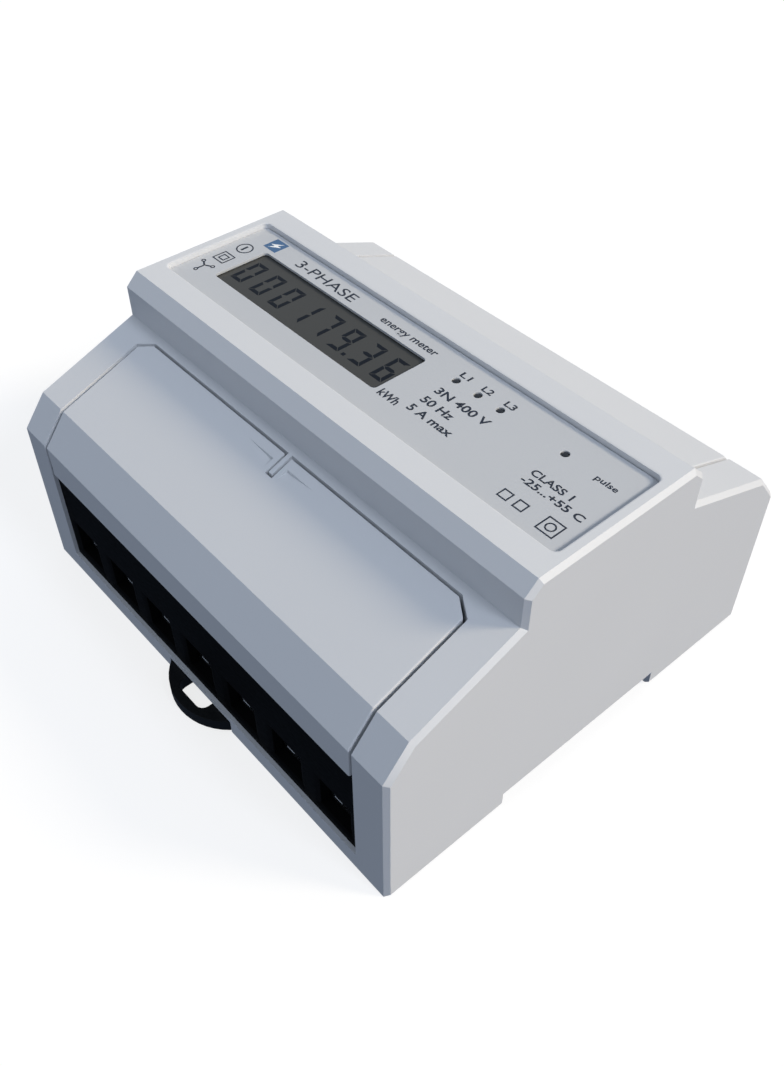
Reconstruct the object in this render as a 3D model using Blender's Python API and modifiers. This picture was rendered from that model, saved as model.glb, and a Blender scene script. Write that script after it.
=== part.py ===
"""Three-phase electric meter for a 35 mm top-hat rail, seven modules wide.

X runs along the rail, Z points out of the panel towards the reader and Y runs across the rail,
with the latch side at -Y. The back plane of the meter is z = 0 and the rail lies centred on y = 0.
Lengths are in millimetres and become metres where a mesh is made.
"""

import math

import bmesh
import bpy
from mathutils import Matrix, Vector

MM = 0.001
GAP = 0.3                    # clearance between pieces that touch on the real meter
PAST = 8.0                   # how far a cutter runs past what it cuts
INTO = 1.0                   # how far a joined shape reaches into the one it joins

# Envelope and outer profile, mirrored about y = 0
WIDTH = 122.0                # seven 17.5 mm modules, less 0.5 mm to let neighbours in
HALF_WIDTH = WIDTH / 2
HALF_HEIGHT = 53.2
FRONT_WALL_TOP = 38.6        # top of the upright terminal side
SHOULDER_LOW = (47.45, 45.65)
SHOULDER_HIGH = (22.93, 54.8)
STEP_TOP = 62.0
DEPTH = 64.8
CROWN_HALF = 19.95           # half width of the flat front face
END_CHAMFER = 0.94
WALL = 2.0
INNER_X = HALF_WIDTH - WALL + 0.06

# Terminal bays, one on each side of the raised front
BAY_HALF = 52.1
BAY_BACK = 24.65
BAY_CORNER = (48.1, 27.2)    # where the back corners of the bay are cut off
SHELF_TOP = 36.0
MIDDLE_HOLLOW_TOP = 52.5
SHELF_EDGE = 36.0
SILL_TOP = 4.8
TONGUE_HALF = 0.52
TONGUE_TIP = 29.75
TONGUE_UNDERSIDE = 49.9

# Terminal covers
COVER_HALF = 51.3
COVER_THICK = 2.2
COVER_LIP = 30.9             # lower edge of the cover on the terminal side
COVER_EDGE = 25.25           # edge next to the raised front
COVER_CORNER = (47.9, 27.55)
COVER_SIDE_BEVEL = 0.35
NOTCH_HALF = 1.1
NOTCH_END = 30.3
NAIL_RECESS, NAIL_DEPTH = [(2.25, -27.25), (10.2, -27.25), (2.25, -29.9)], 0.8
HINGE_Y, HINGE_Z = 51.8, 32.1
PIN_RADIUS = 0.8
PIN_END = 53.3

# Terminals
TERMINALS = 7
PITCH = 15.0
BLOCK_HALF = 51.8
BLOCK_FACE = 52.4
BLOCK_UPPER_FACE = 49.8      # behind the cover's lip
BLOCK_BAND_TOP = 29.9
BLOCK_BACK = 36.3
BLOCK_TOP = 35.7
BLOCK_FOOT = 2.6
BLOCK_FOOT_FACE = 51.0
MOUTH_HALF, MOUTH_LOW, MOUTH_HIGH = 6.0, 6.5, 17.25
DUCT_HALF, DUCT_LOW, DUCT_HIGH = 4.55, 7.4, 16.3
MOUTH_DEPTH = 0.4
CHAMBER_HALF = 4.9
CHAMBER_FRONT, CHAMBER_BACK = 50.0, 40.8
CHAMBER_TOP = 26.2
LEDGE_TOP = 27.8
CLAMP_Y = 45.7
WELL_RADIUS = 3.2
LEDGE_HOLE = 2.3
CONTACT_SLOT = (3.2, 15.8, 17.2)   # half width, bottom and top of the slot for the contact bar

# Clamp screws (M4) and the cages that they raise
HEAD_RADIUS, HEAD_LOW, HEAD_TOP = 2.8, 28.1, 30.9
SHANK_RADIUS, SHANK_TIP = 1.9, 17.2
SLOT_WIDTH, SLOT_DEPTH = 0.9, 1.3
CAGE_HALF, CAGE_FRONT, CAGE_BACK = 4.25, 49.7, 41.7
CAGE_LOW, CAGE_TOP = 7.6, 19.8
CAGE_STRIP, CAGE_SIDE, CAGE_HEAD = 1.2, 1.0, 1.8
CAGE_LAP = -1.0              # the folded strip's end lies double from here to the far side
CAGE_HOLE = 2.2

# Front label recess, window and indicator holes
RECESS_HALF = (58.15, 13.95)
RECESS_RADIUS = 1.6
RECESS_BEVEL = (0.4, 0.15)    # across and deep
RECESS_FLOOR = 62.75
LABEL_BOTTOM, LABEL_TOP = 62.85, 63.45
LABEL_CLEARANCE = 0.15
ROOF_UNDERSIDE = 60.9
WINDOW_LOW, WINDOW_HIGH = (-49.55, -7.0), (4.2, 7.1)
WINDOW_RADIUS = 1.0
PANE_MARGIN, PANE_PLAY, PANE_LIP = 0.9, 0.1, 0.6
PANE_LOW, PANE_TOP = 61.45, 62.65
LED_XY = [(12.8, 6.85), (18.85, 6.85), (24.9, 6.85), (41.45, 6.8)]
LED_NAMES = ["phase_led_1", "phase_led_2", "phase_led_3", "pulse_led"]
LED_HOLE = 0.93

# Rail channel, base plate and latch
CHANNEL_HALF, CHANNEL_FLOOR = 22.73, 4.25
RAIL_HALF, RAIL_THICK, RAIL_PLAY = 17.5, 1.0, 0.25
BASE_LOW, BASE_TOP = 0.3, 2.3
BASE_HALF = (58.7, 50.9)
HOOK_X, HOOK_HALF, HOOK_REACH, HOOK_NOSE = 34.0, 8.0, 15.7, 0.8
TUNNEL_HALF, TUNNEL_TOP = 14.0, 5.4
LATCH_X = -0.4
LATCH_LOW, LATCH_TOP = 0.1, 3.1
LATCH_HALF, LATCH_FLANGE = 8.0, 11.0
LATCH_NOSE = 15.5
RAMP_RUN, RAMP_TOP = 2.0, 3.8        # the ramp that the rail's edge rides up
LOOP_TIP, LOOP_INNER = 58.3, 50.6
LOOP_HOLE = (4.7, 56.0, 50.0)      # half width, outer and inner end
FLANGE_LOW, FLANGE_START = 1.7, 26.0
POCKET_HALF, POCKET_ENDS = 1.7, (44.0, 32.0)
POST_HALF, POST_ENDS, POST_LOW = 1.3, (43.7, 42.2), 0.5
SPRING_RADIUS, SPRING_WIRE, SPRING_TURNS = 1.1, 0.2, 7
BASE_SCREW_XY = (56.6, 46.0)
BASE_SCREW_RADIUS, BASE_SCREW_HOLE, BASE_SCREW_END, BASE_SCREW_TIP = 1.2, 1.5, 0.9, 12.0
PILLAR_RADIUS, PILLAR_TOP = 2.8, 20.0

# Boards and what they carry
BOARD_THICK = 1.6
MAIN_BOARD_HALF, MAIN_BOARD_LOW = (57.5, 35.2), 12.0
DISPLAY_BOARD_HALF, DISPLAY_BOARD_LOW = (56.0, 18.6), 53.6
BOSS_XY, BOSS_RADIUS = (53.0, 15.5), 2.2
BOARD_PILLAR_XY, BOARD_PILLAR_RADIUS = (50.0, 30.0), 2.5
RISER_X, RISER_HALF, RISER_THICK = 40.0, 12.0, 1.6
CT_SIZE = (3.5, 8.0, 4.0)    # bore radius, outer radius and half length of a current transformer
CT_XY = [(-30.0, -24.0), (0.0, -24.0), (30.0, -24.0)]
CAN = ((-4.0, 14.0), 5.0, 16.0, 0.4)
LED_BODY = (1.5, 1.9, 1.0, 3.1)    # dome and collar radius, height of the collar and of the dome's foot
GLASS_THICK, GLASS_OVER, HOLDER_WALL, HOLDER_LEDGE = 2.2, (0.4, 1.4), 1.3, 1.5


def material(name, colour, roughness, metallic=0.0):
    """A Principled material from a linear colour."""
    made = bpy.data.materials.new(name)
    made.use_nodes = True
    shader = made.node_tree.nodes["Principled BSDF"]
    shader.inputs["Base Color"].default_value = (*colour, 1.0)
    shader.inputs["Roughness"].default_value = roughness
    shader.inputs["Metallic"].default_value = metallic
    return made


def collection(name):
    made = bpy.data.collections.new(name)
    bpy.context.scene.collection.children.link(made)
    return made


def turned_about(axis):
    """The rotation that carries an outline's own Z onto the named axis, with Z staying up where it can."""
    return {
        "Z": Matrix.Identity(4),
        "X": Matrix(((0, 0, 1, 0), (1, 0, 0, 0), (0, 1, 0, 0), (0, 0, 0, 1))),
        "Y": Matrix(((1, 0, 0, 0), (0, 0, 1, 0), (0, 1, 0, 0), (0, 0, 0, 1))),
    }[axis]


def add_box(bm, low, high):
    made = bmesh.ops.create_cube(bm, size=1.0)
    size = Vector(high) - Vector(low)
    middle = (Vector(high) + Vector(low)) / 2
    bmesh.ops.transform(bm, matrix=Matrix.Translation(middle) @ Matrix.Diagonal((*size, 1)), verts=made["verts"])


def add_rod(bm, centre, radius, low, high, axis="Z", segments=24):
    """A cylinder along an axis; centre holds its two other coordinates, in X, Y, Z order."""
    made = bmesh.ops.create_cone(
        bm, cap_ends=True, segments=segments, radius1=radius, radius2=radius, depth=high - low
    )
    u, v = centre
    where = {"Z": (u, v, (low + high) / 2), "X": ((low + high) / 2, u, v), "Y": (u, (low + high) / 2, v)}[axis]
    bmesh.ops.transform(bm, matrix=Matrix.Translation(where) @ turned_about(axis), verts=made["verts"])


def add_outline(bm, outlines, low, high, axis="Z"):
    """A flat outline, with any holes given after it, made solid from low to high along an axis."""
    curve = bpy.data.curves.new("outline", "CURVE")
    curve.dimensions = "2D"
    curve.fill_mode = "BOTH"
    curve.extrude = (high - low) / 2
    for points in outlines:
        spline = curve.splines.new("POLY")
        spline.points.add(len(points) - 1)
        for place, (u, v) in zip(spline.points, points):
            place.co = (u, v, 0, 1)
        spline.use_cyclic_u = True
    holder = bpy.data.objects.new("outline", curve)
    mesh = bpy.data.meshes.new_from_object(holder)
    mesh.transform(turned_about(axis) @ Matrix.Translation((0, 0, (low + high) / 2)))
    flat = bmesh.new()
    flat.from_mesh(mesh)
    bmesh.ops.remove_doubles(flat, verts=flat.verts, dist=1e-4)
    bmesh.ops.dissolve_limit(flat, angle_limit=1e-3, verts=flat.verts, edges=flat.edges)
    bmesh.ops.recalc_face_normals(flat, faces=flat.faces)
    flat.to_mesh(mesh)
    flat.free()
    bm.from_mesh(mesh)
    bpy.data.objects.remove(holder)
    bpy.data.curves.remove(curve)
    bpy.data.meshes.remove(mesh)


def add_hull(bm, points):
    """The convex solid around a few points."""
    verts = [bm.verts.new(point) for point in points]
    bmesh.ops.convex_hull(bm, input=verts)


def rounded_box(low, high, radius, steps=4):
    """A rectangle's outline with each corner an arc."""
    points = []
    corners = (high[0], high[1]), (low[0], high[1]), (low[0], low[1]), (high[0], low[1])
    for quarter, (x, y) in enumerate(corners):
        centre_x = x - math.copysign(radius, x - (low[0] + high[0]) / 2)
        centre_y = y - math.copysign(radius, y - (low[1] + high[1]) / 2)
        for step in range(steps + 1):
            angle = math.pi / 2 * (quarter + step / steps)
            points.append((centre_x + radius * math.cos(angle), centre_y + radius * math.sin(angle)))
    return points


def circle(centre, radius, steps=20):
    return [
        (centre[0] + radius * math.cos(math.tau * step / steps), centre[1] + radius * math.sin(math.tau * step / steps))
        for step in range(steps)
    ]


def mesh_object(name, bm, group, parent=None, origin=(0, 0, 0)):
    """An object from a bmesh in millimetres, with its origin where the piece turns or sits."""
    bmesh.ops.recalc_face_normals(bm, faces=bm.faces)
    bmesh.ops.translate(bm, vec=-Vector(origin), verts=bm.verts)
    bmesh.ops.scale(bm, vec=(MM, MM, MM), verts=bm.verts)
    mesh = bpy.data.meshes.new(name)
    bm.to_mesh(mesh)
    bm.free()
    obj = bpy.data.objects.new(name, mesh)
    obj.location = Vector(origin) * MM
    obj.parent = parent
    group.objects.link(obj)
    return obj


def part(name, bm, finish, parent=None, origin=(0, 0, 0)):
    obj = mesh_object(name, bm, PARTS, parent, origin)
    obj.data.materials.append(finish)
    return obj


def boolean(target, name, bm, operation, parent):
    tool = mesh_object(name, bm, CUTTERS, parent)
    tool.hide_render = True
    tool.display_type = "WIRE"
    change = target.modifiers.new(name, "BOOLEAN")
    change.operation = operation
    change.solver = "EXACT"
    change.object = tool


def cut(target, name, bm, parent=None):
    boolean(target, name, bm, "DIFFERENCE", parent)


def join(target, name, bm, parent=None):
    boolean(target, name, bm, "UNION", parent)


def turned(name, profile, finish, origin, parent=None, steps=20, closed=False):
    """A round piece: a profile of (radius, z) points, from the top down its outer side, spun about Z."""
    bm = bmesh.new()
    verts = [bm.verts.new((radius, 0, z - origin[2])) for radius, z in profile]
    for first, second in zip(verts, verts[1:] + verts[:1] if closed else verts[1:]):
        bm.edges.new((first, second))
    bmesh.ops.scale(bm, vec=(MM, MM, MM), verts=bm.verts)
    mesh = bpy.data.meshes.new(name)
    bm.to_mesh(mesh)
    bm.free()
    obj = bpy.data.objects.new(name, mesh)
    obj.location = Vector(origin) * MM
    obj.parent = parent
    PARTS.objects.link(obj)
    obj.data.materials.append(finish)
    spin = obj.modifiers.new("spin", "SCREW")
    spin.steps = spin.render_steps = steps
    spin.use_merge_vertices = True
    spin.merge_threshold = 1e-5
    spin.use_smooth_shade = True
    return obj


def side_x(number):
    """The middle of one terminal, numbered from 1 at low X."""
    return (number - (TERMINALS + 1) / 2) * PITCH


def cover_path():
    """The covers' outer surface, from the lip to just past the edge by the raised front, as (y, z) at -Y."""
    low_y, low_z = SHOULDER_LOW
    high_y, high_z = SHOULDER_HIGH
    rise = (high_z - low_z) / (low_y - high_y)
    past = COVER_EDGE - 1
    past_z = low_z + rise * (low_y - past)
    return [(-HALF_HEIGHT, COVER_LIP), (-HALF_HEIGHT, FRONT_WALL_TOP), (-low_y, low_z), (-past, past_z)]


def offset_path(points, distance):
    """The path moved to its right by a distance, with mitred corners."""
    moved = []
    for index, point in enumerate(points):
        before = Vector(point) - Vector(points[index - 1]) if index else None
        after = Vector(points[index + 1]) - Vector(point) if index + 1 < len(points) else None
        sides = [Vector((run.y, -run.x)).normalized() for run in (before, after) if run]
        middle = sum(sides, Vector((0, 0))).normalized()
        moved.append(tuple(Vector(point) + middle * distance / middle.dot(sides[0])))
    return moved


def outer_profile():
    half = [
        (HALF_HEIGHT, 0.0),
        (HALF_HEIGHT, FRONT_WALL_TOP),
        SHOULDER_LOW,
        SHOULDER_HIGH,
        (SHOULDER_HIGH[0], STEP_TOP),
        (CROWN_HALF, DEPTH),
    ]
    return half + [(-y, z) for y, z in reversed(half)]


def casing_shell():
    """The outer block with chamfered ends, hollowed from the back."""
    bm = bmesh.new()
    add_outline(bm, [outer_profile()], -HALF_WIDTH, HALF_WIDTH, "X")
    ends = [edge for edge in bm.edges if abs(edge.verts[0].co.x - edge.verts[1].co.x) < HALF_WIDTH]
    bmesh.ops.bevel(bm, geom=ends, offset=END_CHAMFER, offset_type="OFFSET", segments=1, affect="EDGES")
    casing = part("main_casing", bm, LIGHT_GREY)

    hollows = {
        "hollow_front": (INNER_X, SHOULDER_HIGH[0] - WALL, SHELF_TOP, ROOF_UNDERSIDE),
        "hollow_middle": (INNER_X, BAY_BACK - WALL, -PAST, MIDDLE_HOLLOW_TOP),
        "hollow_back": (INNER_X, SHELF_EDGE + GAP, -PAST, SHELF_TOP - WALL),
        "base_seat": (INNER_X, HALF_HEIGHT - WALL, -PAST, BASE_TOP + GAP),
        "rail_pocket": (HALF_WIDTH + PAST, CHANNEL_HALF, -PAST, CHANNEL_FLOOR),
    }
    for name, (half_x, half_y, low, high) in hollows.items():
        bm = bmesh.new()
        add_box(bm, (-half_x, -half_y, low), (half_x, half_y, high))
        cut(casing, name, bm)

    half = offset_path(outer_profile()[:4], -WALL)
    cheek = [(half[0][0], -PAST)] + half[1:]
    bm = bmesh.new()
    for low, high in ((-INNER_X, -BAY_HALF - WALL), (BAY_HALF + WALL, INNER_X)):
        add_outline(bm, [cheek + [(-y, z) for y, z in reversed(cheek)]], low, high, "X")
    cut(casing, "cheek_hollows", bm)
    return casing


def cut_bay(casing, side):
    """Open one terminal bay, leaving the sill, the shelf and the tongue that locates the cover."""
    corner_x, corner_y = BAY_CORNER
    plan = [
        (-BAY_HALF, -HALF_HEIGHT - PAST),
        (BAY_HALF, -HALF_HEIGHT - PAST),
        (BAY_HALF, -corner_y),
        (corner_x, -BAY_BACK),
        (TONGUE_HALF, -BAY_BACK),
        (TONGUE_HALF, -TONGUE_TIP),
        (-TONGUE_HALF, -TONGUE_TIP),
        (-TONGUE_HALF, -BAY_BACK),
        (-corner_x, -BAY_BACK),
        (-BAY_HALF, -corner_y),
    ]
    bm = bmesh.new()
    add_outline(bm, [plan], SHELF_TOP, STEP_TOP)
    cut(casing, "bay_" + side.name, bm, side)
    around = 2 * TONGUE_HALF
    rooms = {
        "under_tongue": (around, -TONGUE_TIP - around, -BAY_BACK, SHELF_TOP, TONGUE_UNDERSIDE),
        "block_bay": (BAY_HALF, -HALF_HEIGHT - PAST, -SHELF_EDGE, SILL_TOP, SHELF_TOP + INTO),
        "behind_sill": (BAY_HALF, -HALF_HEIGHT + WALL, -SHELF_EDGE, BASE_LOW, SILL_TOP + INTO),
    }
    for name, (half_x, low_y, high_y, low_z, high_z) in rooms.items():
        bm = bmesh.new()
        add_box(bm, (-half_x, low_y, low_z), (half_x, high_y, high_z))
        cut(casing, name + "_" + side.name, bm, side)
    bm = bmesh.new()
    for low, high in ((-PIN_END - GAP, -BAY_HALF + INTO), (BAY_HALF - INTO, PIN_END + GAP)):
        add_rod(bm, (-HINGE_Y, HINGE_Z), PIN_RADIUS + GAP, low, high, "X", 16)
    cut(casing, "pin_holes_" + side.name, bm, side)


def cut_front(casing):
    """The recess for the label, the seat of the window and the indicator holes."""
    half_x, half_y = RECESS_HALF
    outline = rounded_box((-half_x, -half_y), (half_x, half_y), RECESS_RADIUS)
    bm = bmesh.new()
    add_outline(bm, [outline], RECESS_FLOOR, DEPTH + PAST)
    cut(casing, "label_recess", bm)

    across, deep = RECESS_BEVEL
    bm = bmesh.new()
    add_outline(bm, [outline], DEPTH - deep, DEPTH + deep)
    spread = 2 * across
    wide = rounded_box(
        (-half_x - spread, -half_y - spread), (half_x + spread, half_y + spread), RECESS_RADIUS + spread
    )
    for narrow_point, wide_point in zip(outline, wide):
        for vert in bm.verts:
            if vert.co.z > DEPTH and (vert.co.xy - Vector(narrow_point)).length < 1e-3:
                vert.co.xy = wide_point
                break
    cut(casing, "recess_bevel", bm)

    (low_x, low_y), (high_x, high_y) = WINDOW_LOW, WINDOW_HIGH
    seat = PANE_MARGIN + PANE_PLAY
    bm = bmesh.new()
    add_box(bm, (low_x - seat, low_y - seat, PANE_LOW - PANE_PLAY), (high_x + seat, high_y + seat, DEPTH))
    cut(casing, "window_seat", bm)
    below, lip = ROOF_UNDERSIDE - INTO, PANE_LIP
    bm = bmesh.new()
    add_box(bm, (low_x + lip, low_y + lip, below), (high_x - lip, high_y - lip, DEPTH))
    for place in LED_XY:
        add_rod(bm, place, LED_HOLE, below, DEPTH, segments=20)
    cut(casing, "window_and_led_holes", bm)


def add_casing_bosses(casing):
    """Pegs that stop the display board, and pillars that take the screws from the back."""
    bm = bmesh.new()
    for x in (-BOSS_XY[0], BOSS_XY[0]):
        for y in (-BOSS_XY[1], BOSS_XY[1]):
            add_rod(bm, (x, y), BOSS_RADIUS, DISPLAY_BOARD_LOW + BOARD_THICK + GAP, ROOF_UNDERSIDE + INTO, segments=16)
    join(casing, "board_pegs", bm)
    pillars, holes = bmesh.new(), bmesh.new()
    screw_x, screw_y = BASE_SCREW_XY
    for x in (-screw_x, screw_x):
        for y in (-screw_y, screw_y):
            add_rod(pillars, (x, y), PILLAR_RADIUS, BASE_TOP + GAP, PILLAR_TOP, segments=16)
            add_rod(holes, (x, y), BASE_SCREW_HOLE, 0, BASE_SCREW_TIP + 2, segments=16)
    join(casing, "screw_pillars", pillars)
    cut(casing, "pillar_holes", holes)


def build_casing(front, rear):
    casing = casing_shell()
    for side in (front, rear):
        cut_bay(casing, side)
    bm = bmesh.new()
    reach = LATCH_FLANGE + 0.4
    inner = -HALF_HEIGHT + WALL + INTO
    add_box(bm, (LATCH_X - reach, -HALF_HEIGHT - PAST, -PAST), (LATCH_X + reach, inner, LATCH_TOP + GAP))
    cut(casing, "latch_notch", bm)
    cut_front(casing)
    add_casing_bosses(casing)


def build_cover(side):
    """A hinged lid over one row of terminals, with a nail recess each side of its notch."""
    path = cover_path()
    outline = path + list(reversed(offset_path(path, COVER_THICK)))
    bm = bmesh.new()
    add_outline(bm, [outline], -COVER_HALF, COVER_HALF, "X")
    outer_sides = [
        edge
        for edge in bm.edges
        if abs(edge.verts[0].co.x - edge.verts[1].co.x) < COVER_HALF
        and all(min((v.co.yz - Vector(point)).length for point in path) < 1e-3 for v in edge.verts)
    ]
    bmesh.ops.bevel(bm, geom=outer_sides, offset=COVER_SIDE_BEVEL, segments=2, profile=0.5, affect="EDGES")
    origin = (0, -HINGE_Y, HINGE_Z)
    cover = part("terminal_cover_" + side.name.split("_")[0], bm, LIGHT_GREY, side, origin)

    corner_x, corner_y = COVER_CORNER
    half = [
        (NOTCH_HALF, -NOTCH_END),
        (NOTCH_HALF, -COVER_EDGE),
        (corner_x, -COVER_EDGE),
        (COVER_HALF, -corner_y),
        (COVER_HALF + PAST, -corner_y),
        (COVER_HALF + PAST, -COVER_EDGE + PAST),
    ]
    bm = bmesh.new()
    add_outline(bm, [half + [(-x, y) for x, y in reversed(half)]], SHELF_TOP, STEP_TOP)
    cut(cover, "corners_and_notch_" + side.name, bm, side)

    bm = bmesh.new()
    for sign in (-1, 1):
        add_nail_recess(bm, sign)
    cut(cover, "nail_recesses_" + side.name, bm, side)

    bm = bmesh.new()
    for low, high in ((-PIN_END, -COVER_HALF + INTO), (COVER_HALF - INTO, PIN_END)):
        add_rod(bm, (-HINGE_Y, HINGE_Z), PIN_RADIUS, low, high, "X", 16)
    join(cover, "hinge_pins_" + side.name, bm, side)


def add_nail_recess(bm, sign):
    """A three-cornered dip, deepest beside the notch and running out to nothing."""
    low_y, low_z = SHOULDER_LOW
    rise = (SHOULDER_HIGH[1] - low_z) / (low_y - SHOULDER_HIGH[0])

    def on_surface(x, y, above=0.0):
        return (sign * x, y, low_z + rise * (y + low_y) + above)

    deep, far, near = NAIL_RECESS
    add_hull(
        bm,
        [on_surface(*deep, -NAIL_DEPTH), on_surface(*far), on_surface(*near)]
        + [on_surface(*corner, INTO) for corner in NAIL_RECESS],
    )


def build_terminal_block(side):
    """The black moulding with a row of cable entries, clamp chambers and screw wells."""
    profile = [
        (-BLOCK_FACE, SILL_TOP + GAP),
        (-BLOCK_FACE, BLOCK_BAND_TOP),
        (-BLOCK_UPPER_FACE, BLOCK_BAND_TOP),
        (-BLOCK_UPPER_FACE, BLOCK_TOP),
        (-BLOCK_BACK, BLOCK_TOP),
        (-BLOCK_BACK, BLOCK_FOOT),
        (-BLOCK_FOOT_FACE, BLOCK_FOOT),
        (-BLOCK_FOOT_FACE, SILL_TOP + GAP),
    ]
    bm = bmesh.new()
    add_outline(bm, [profile], -BLOCK_HALF, BLOCK_HALF, "X")
    block = part("terminal_block_" + side.name.split("_")[0], bm, BLACK, side)

    bm = bmesh.new()
    add_box(
        bm,
        (LATCH_X - TUNNEL_HALF - GAP, -BLOCK_FOOT_FACE - 0.2, 0),
        (LATCH_X + TUNNEL_HALF + GAP, -BLOCK_BACK + PAST, TUNNEL_TOP + GAP),
    )
    cut(block, "tunnel_room_" + side.name, bm, side)

    mouths, ducts, wells, ledges = (bmesh.new() for _ in range(4))
    slot_half, slot_low, slot_high = CONTACT_SLOT
    for number in range(1, TERMINALS + 1):
        x = side_x(number)
        face, inner = -BLOCK_FACE, -BLOCK_FACE + MOUTH_DEPTH
        slope = MOUTH_HALF - DUCT_HALF
        add_hull(
            mouths,
            [
                (x + sign * (MOUTH_HALF + slope), face - MOUTH_DEPTH, z)
                for sign in (-1, 1)
                for z in (2 * MOUTH_LOW - DUCT_LOW, 2 * MOUTH_HIGH - DUCT_HIGH)
            ]
            + [(x + sign * DUCT_HALF, inner, z) for sign in (-1, 1) for z in (DUCT_LOW, DUCT_HIGH)],
        )
        add_box(
            ducts,
            (x - DUCT_HALF, face - PAST, DUCT_LOW),
            (x + DUCT_HALF, -CHAMBER_FRONT + INTO, DUCT_HIGH),
        )
        add_rod(wells, (x, -CLAMP_Y), WELL_RADIUS, LEDGE_TOP, BLOCK_TOP + PAST)
        add_rod(ledges, (x, -CLAMP_Y), LEDGE_HOLE, CHAMBER_TOP - INTO, LEDGE_TOP + INTO, segments=20)
    cut(block, "mouths_" + side.name, mouths, side)
    cut(block, "ducts_" + side.name, ducts, side)
    chambers, slots = bmesh.new(), bmesh.new()
    for number in range(1, TERMINALS + 1):
        x = side_x(number)
        add_box(chambers, (x - CHAMBER_HALF, -CHAMBER_FRONT, DUCT_LOW), (x + CHAMBER_HALF, -CHAMBER_BACK, CHAMBER_TOP))
        back = -BLOCK_BACK + PAST
        add_box(slots, (x - slot_half, -CHAMBER_BACK - INTO, slot_low), (x + slot_half, back, slot_high))
    cut(block, "chambers_" + side.name, chambers, side)
    cut(block, "contact_slots_" + side.name, slots, side)
    cut(block, "ledge_holes_" + side.name, ledges, side)
    cut(block, "screw_wells_" + side.name, wells, side)


def build_clamp(side, number):
    """One screw terminal: the M4 screw turns where it is and lifts the cage on its thread."""
    place = side.name.split("_")[0] + "_" + str(number)
    x = side_x(number)
    profile = [
        (0, HEAD_TOP),
        (HEAD_RADIUS - 0.3, HEAD_TOP),
        (HEAD_RADIUS, HEAD_TOP - 0.3),
        (HEAD_RADIUS, HEAD_LOW),
        (SHANK_RADIUS, HEAD_LOW),
        (SHANK_RADIUS, SHANK_TIP + 0.6),
        (SHANK_RADIUS - 0.6, SHANK_TIP),
        (0, SHANK_TIP),
    ]
    screw = turned("clamp_screw_" + place, profile, STEEL, (x, -CLAMP_Y, HEAD_LOW), side, 20)
    bm = bmesh.new()
    half, reach = SLOT_WIDTH / 2, HEAD_RADIUS + PAST
    floor, above = HEAD_TOP - SLOT_DEPTH, HEAD_TOP + PAST
    add_box(bm, (x - reach, -CLAMP_Y - half, floor), (x + reach, -CLAMP_Y + half, above))
    cut(screw, "driver_slot_" + place, bm, side)

    inside = CAGE_HALF - CAGE_SIDE
    lap_x = x + CAGE_LAP
    outer = [
        (x - CAGE_HALF, CAGE_LOW),
        (x + CAGE_HALF, CAGE_LOW),
        (x + CAGE_HALF, CAGE_TOP),
        (x - CAGE_HALF, CAGE_TOP),
    ]
    opening = [
        (x - inside, CAGE_LOW + CAGE_STRIP),
        (lap_x, CAGE_LOW + CAGE_STRIP),
        (lap_x, CAGE_LOW + 2 * CAGE_STRIP),
        (x + inside, CAGE_LOW + 2 * CAGE_STRIP),
        (x + inside, CAGE_TOP - CAGE_HEAD),
        (x - inside, CAGE_TOP - CAGE_HEAD),
    ]
    bm = bmesh.new()
    add_outline(bm, [outer, opening], -CAGE_FRONT, -CAGE_BACK, "Y")
    cage = part("clamp_cage_" + place, bm, STEEL, side, (x, -CLAMP_Y, CAGE_LOW))
    bm = bmesh.new()
    add_rod(bm, (x, -CLAMP_Y), CAGE_HOLE, CAGE_TOP - CAGE_HEAD - INTO, CAGE_TOP + INTO, segments=16)
    cut(cage, "thread_hole_" + place, bm, side)


def build_label_plate():
    half_x, half_y = (half - LABEL_CLEARANCE for half in RECESS_HALF)
    radius = RECESS_RADIUS - LABEL_CLEARANCE
    holes = [rounded_box(WINDOW_LOW, WINDOW_HIGH, WINDOW_RADIUS)]
    holes += [circle(place, LED_HOLE) for place in LED_XY]
    bm = bmesh.new()
    add_outline(bm, [rounded_box((-half_x, -half_y), (half_x, half_y), radius)] + holes, LABEL_BOTTOM, LABEL_TOP)
    part("front_label_plate", bm, LABEL_GREY)


def build_window():
    """The clear pane, held down by the label plate's edge."""
    low = [low - PANE_MARGIN for low in WINDOW_LOW]
    high = [high + PANE_MARGIN for high in WINDOW_HIGH]
    bm = bmesh.new()
    add_outline(bm, [rounded_box(low, high, WINDOW_RADIUS)], PANE_LOW, PANE_TOP)
    part("display_window", bm, CLEAR)


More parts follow.
